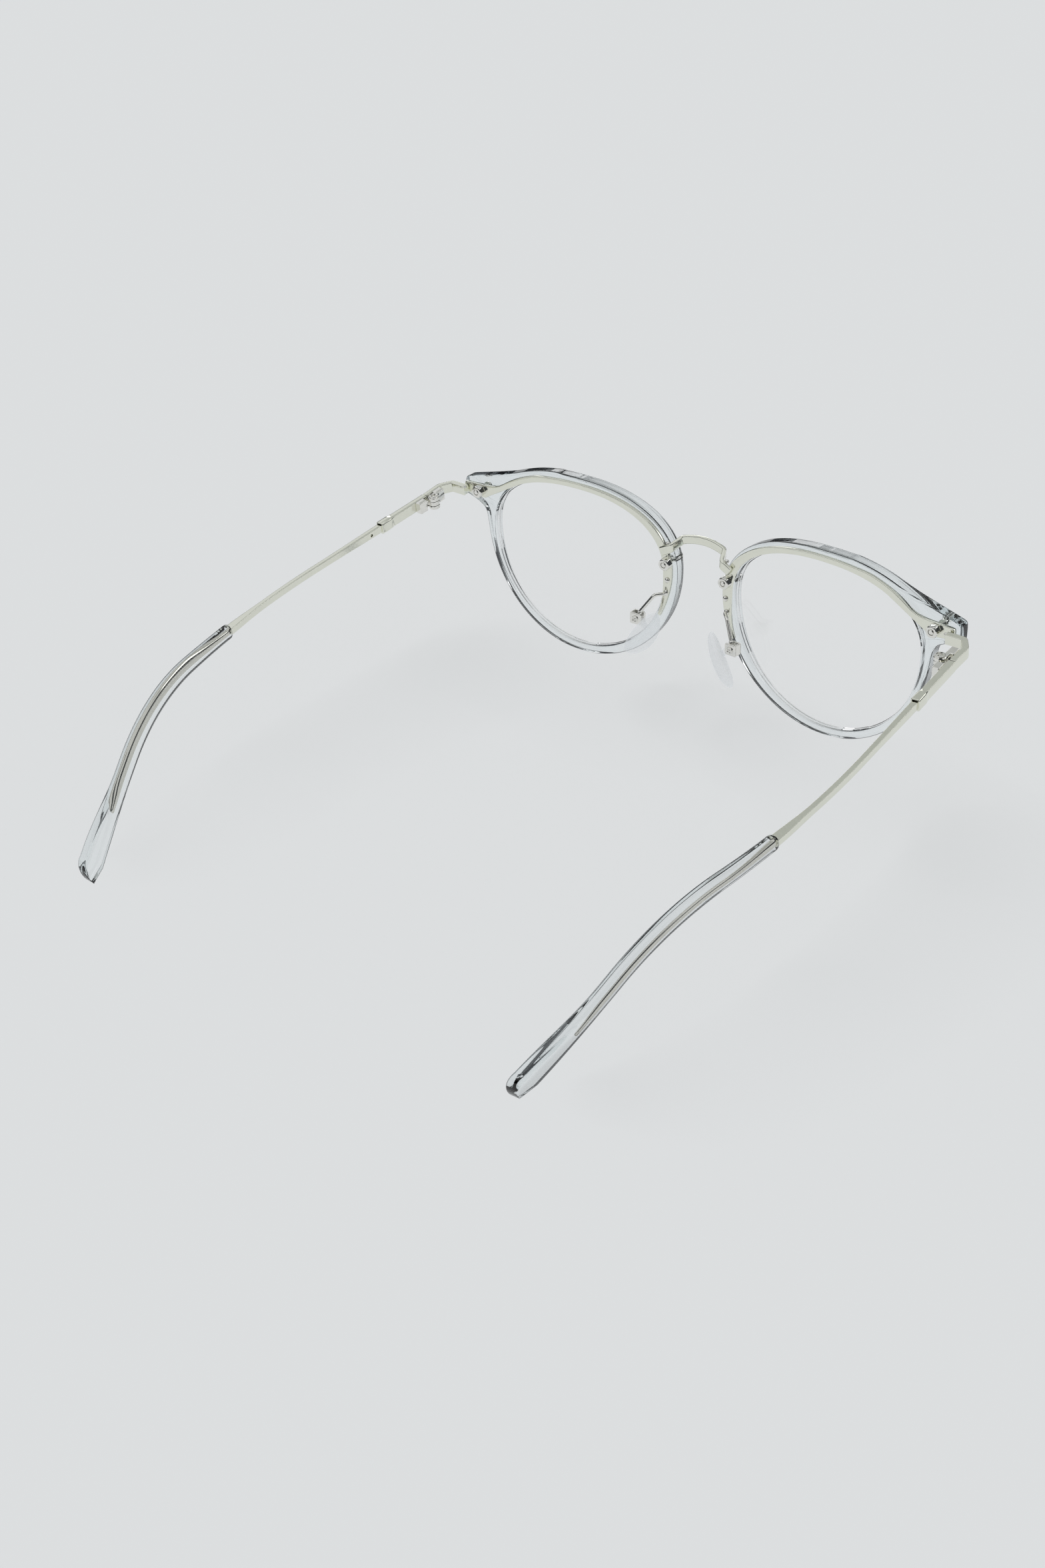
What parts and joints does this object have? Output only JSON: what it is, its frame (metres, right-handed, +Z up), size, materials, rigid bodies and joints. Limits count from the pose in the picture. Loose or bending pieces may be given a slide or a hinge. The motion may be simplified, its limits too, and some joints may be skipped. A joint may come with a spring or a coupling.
{
  "type": "eyeglasses",
  "caption": "Round clear plastic eyeglasses with metal brow plates and bridge, soft nose pads on wire arms, and slim metal temples with clear tips that fold on screw hinges.",
  "frame": {"origin": "on the surface the glasses stand on, under the middle of their overall box", "axes": "+Z up, +X to the wearer's left, -Y the way the front faces, temples toward +Y"},
  "size_m": [0.143, 0.1394, 0.0434],
  "materials": {
    "clear_plastic": "clear polished",
    "lens": "clear uncoated",
    "champagne_metal": "polished pale champagne",
    "silver_metal": "polished silver",
    "pad_silicone": "clear soft silicone"
  },
  "bodies": {
    "front": {"bridge": "champagne_metal", "left_rim": "clear_plastic", "left_lens": "lens", "left_brow_plate": "champagne_metal", "left_outer_rim_screw": "silver_metal", "left_nose_rim_screw": "silver_metal", "left_outer_nut": "silver_metal", "left_nose_nut": "silver_metal", "left_plate_rivet": "silver_metal", "left_pad_arm": "silver_metal", "left_pad_box": "silver_metal", "left_pad_screw": "silver_metal", "left_end_piece": "champagne_metal", "left_front_hinge_leaf": "silver_metal", "left_hinge_screw": "silver_metal", "right_rim": "clear_plastic", "right_lens": "lens", "right_brow_plate": "champagne_metal", "right_outer_rim_screw": "silver_metal", "right_nose_rim_screw": "silver_metal", "right_outer_nut": "silver_metal", "right_nose_nut": "silver_metal", "right_plate_rivet": "silver_metal", "right_pad_arm": "silver_metal", "right_pad_box": "silver_metal", "right_pad_screw": "silver_metal", "right_end_piece": "champagne_metal", "right_front_hinge_leaf": "silver_metal", "right_hinge_screw": "silver_metal"},
    "left_temple": {"left_temple_hinge_leaf": "silver_metal", "left_temple_front": "champagne_metal", "left_temple_collar": "champagne_metal", "left_temple_bar": "champagne_metal", "left_temple_tip": "clear_plastic"},
    "left_pad": {"left_nose_pad": "pad_silicone"},
    "right_temple": {"right_temple_hinge_leaf": "silver_metal", "right_temple_front": "champagne_metal", "right_temple_collar": "champagne_metal", "right_temple_bar": "champagne_metal", "right_temple_tip": "clear_plastic"},
    "right_pad": {"right_nose_pad": "pad_silicone"}
  },
  "joints": [
    {"name": "left_temple_fold", "type": "hinge", "parent": "front", "child": "left_temple", "pos_m": [0.0665, -0.05318, 0.03351], "axis": [0, 0.1096, 0.994], "range_deg": [0, 86]},
    {"name": "right_temple_fold", "type": "hinge", "parent": "front", "child": "right_temple", "pos_m": [-0.0665, -0.05318, 0.03351], "axis": [0, -0.1096, -0.994], "range_deg": [0, 81]},
    {"name": "left_pad_rock", "type": "hinge", "parent": "front", "child": "left_pad", "pos_m": [0.01284, -0.05949, 0.01666], "axis": [-0.0436, 0.9983, 0.0384], "range_deg": [-8, 8]},
    {"name": "right_pad_rock", "type": "hinge", "parent": "front", "child": "right_pad", "pos_m": [-0.01284, -0.05949, 0.01666], "axis": [0.0436, 0.9983, 0.0384], "range_deg": [-8, 8]}
  ]
}
